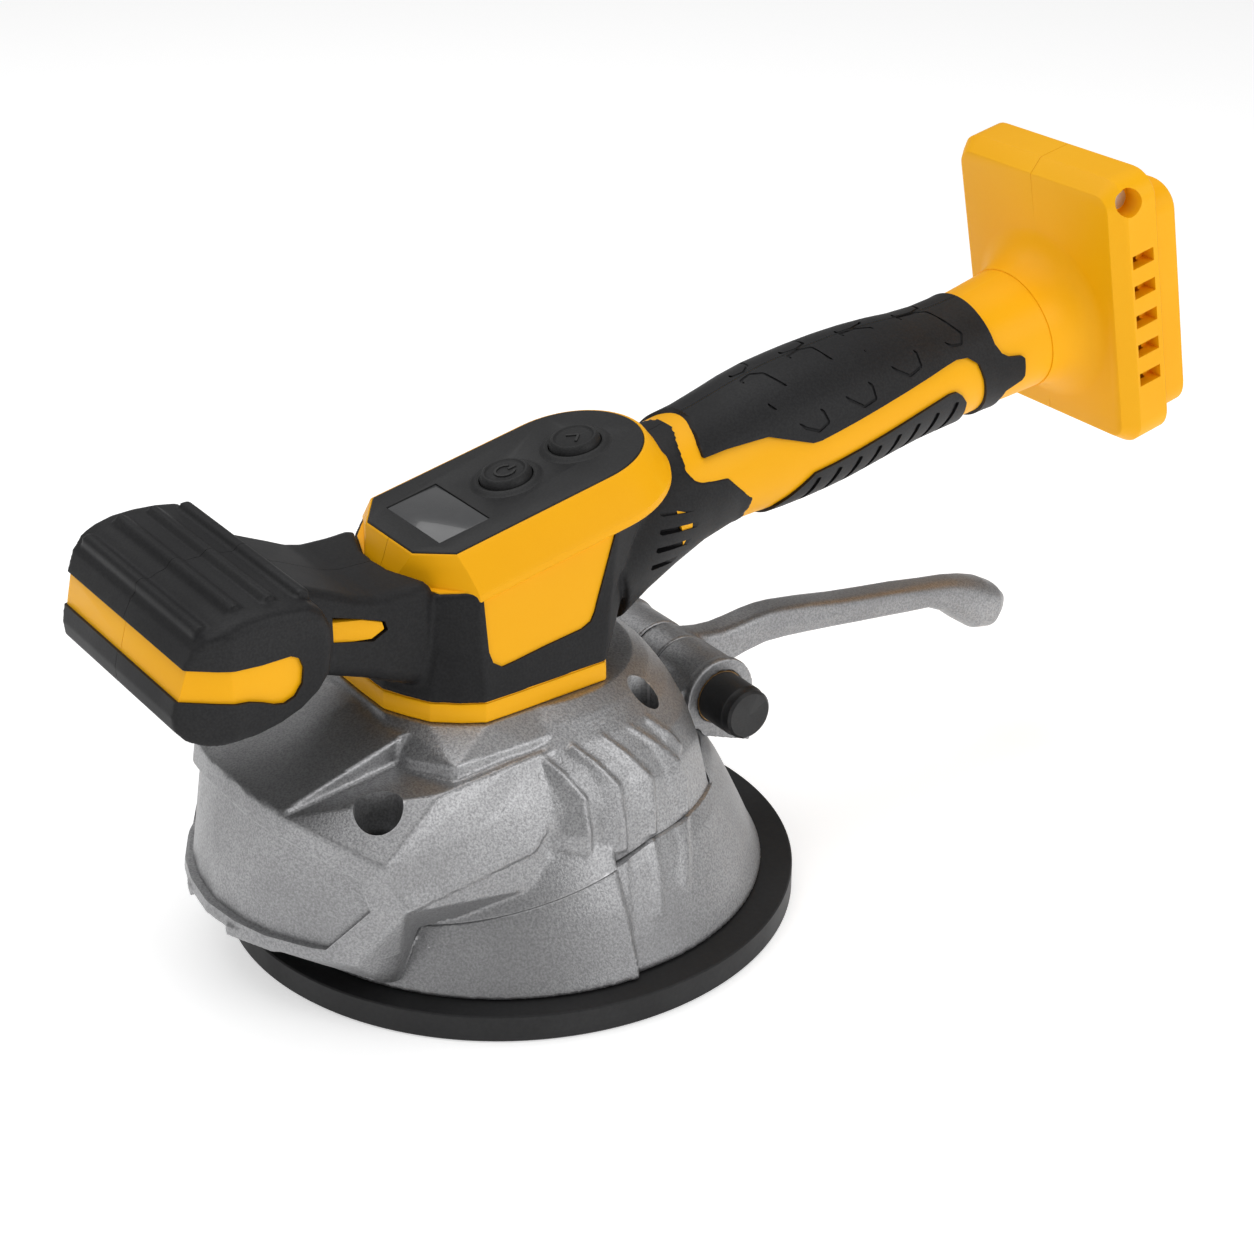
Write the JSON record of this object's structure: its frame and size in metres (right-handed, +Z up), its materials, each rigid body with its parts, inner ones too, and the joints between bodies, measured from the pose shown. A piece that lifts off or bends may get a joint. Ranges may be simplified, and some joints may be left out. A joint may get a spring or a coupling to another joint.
{
  "type": "suction tile vibrator",
  "caption": "Cordless hand tool with a round rubber suction pad, a cast bell body, a suction lever, a palm grip, a control tower and a handle with a slide-on battery mount.",
  "frame": {"origin": "centre of the suction pad's lower face", "axes": "+Z up, out of the tile; +Y towards the battery mount; +X to the operator's left"},
  "size_m": [0.176, 0.3678, 0.1989],
  "materials": {
    "pad_rubber": "moulded, satin",
    "cast_alloy": "die cast and bead blasted, fine grain",
    "zinc_steel": "zinc plated",
    "bronze": "sintered",
    "black_plastic": "fine texture",
    "yellow_plastic": "fine spark texture",
    "soft_black": "soft touch, matte",
    "display_glass": "smoked window",
    "display_dark": "unlit display",
    "board_green": "solder resist",
    "can_steel": "drawn steel",
    "magnet": "ferrite",
    "laminated_iron": "lacquered laminations and winding",
    "lead_sheath": "insulation"
  },
  "bodies": {
    "root": {"base_band": "yellow_plastic", "battery_mount_left": "yellow_plastic", "battery_mount_right": "yellow_plastic", "button_collars": "soft_black", "circuit_board": "board_green", "contact_blades": "bronze", "control_panel": "black_plastic", "display_lens": "display_glass", "display_module": "display_dark", "grip_core_left": "yellow_plastic", "grip_core_right": "yellow_plastic", "grip_cover_left": "soft_black", "grip_cover_right": "soft_black", "handle_core_left": "yellow_plastic", "handle_core_right": "yellow_plastic", "handle_cover_left": "soft_black", "handle_cover_right": "soft_black", "handle_pad_left": "soft_black", "handle_pad_right": "soft_black", "hood": "cast_alloy", "hood_screws": "zinc_steel", "key_switches": "black_plastic", "lead_connector": "black_plastic", "motor_bearings": "bronze", "motor_can": "can_steel", "motor_cradle": "black_plastic", "motor_end_cap": "black_plastic", "motor_magnets": "magnet", "mount_screw": "zinc_steel", "panel_frame": "black_plastic", "pivot_block_left": "cast_alloy", "pivot_block_right": "cast_alloy", "pivot_bushes": "bronze", "power_leads": "lead_sheath", "skirt": "cast_alloy", "stud_guide": "bronze", "suction_pad": "pad_rubber", "terminal_block": "black_plastic", "tower_cover_left": "soft_black", "tower_cover_right": "soft_black", "tower_shell_left": "yellow_plastic", "tower_shell_right": "yellow_plastic"},
    "lever": {"lever": "cast_alloy", "lever_shaft": "zinc_steel", "shaft_caps": "black_plastic", "lifting_pin": "zinc_steel"},
    "pull_stud": {"pull_stud": "zinc_steel", "pad_plate": "zinc_steel", "stud_nuts": "zinc_steel", "lift_bar": "zinc_steel", "stud_spring": "zinc_steel"},
    "rotor": {"rotor_shaft": "zinc_steel", "armature": "laminated_iron", "eccentric_weights": "zinc_steel"},
    "power_button": {"power_button": "soft_black"},
    "up_button": {"up_button": "soft_black"}
  },
  "joints": [
    {"name": "lever_pivot", "type": "hinge", "parent": "root", "child": "lever", "pos_m": [0, 0.061, 0.057], "axis": [1, 0, 0], "range_deg": [-12, 0]},
    {"name": "stud_lift", "type": "slide", "parent": "root", "child": "pull_stud", "axis": [0, 0, -1], "range_m": [-0.0043, 0], "deforming": ["stud_spring"]},
    {"name": "rotor_spin", "type": "hinge", "parent": "root", "child": "rotor", "pos_m": [0, -0.013, 0.1005], "axis": [1, 0, 0], "continuous": true},
    {"name": "power_press", "type": "slide", "parent": "root", "child": "power_button", "axis": [0, 0.1994, -0.9799], "range_m": [0, 0.001], "stiffness_N_per_m": 600},
    {"name": "up_press", "type": "slide", "parent": "root", "child": "up_button", "axis": [0, 0.1994, -0.9799], "range_m": [0, 0.001], "stiffness_N_per_m": 600}
  ],
  "couplings": [
    {"joint": "stud_lift", "follows": "lever_pivot", "m_per_rad": 0.02}
  ]
}
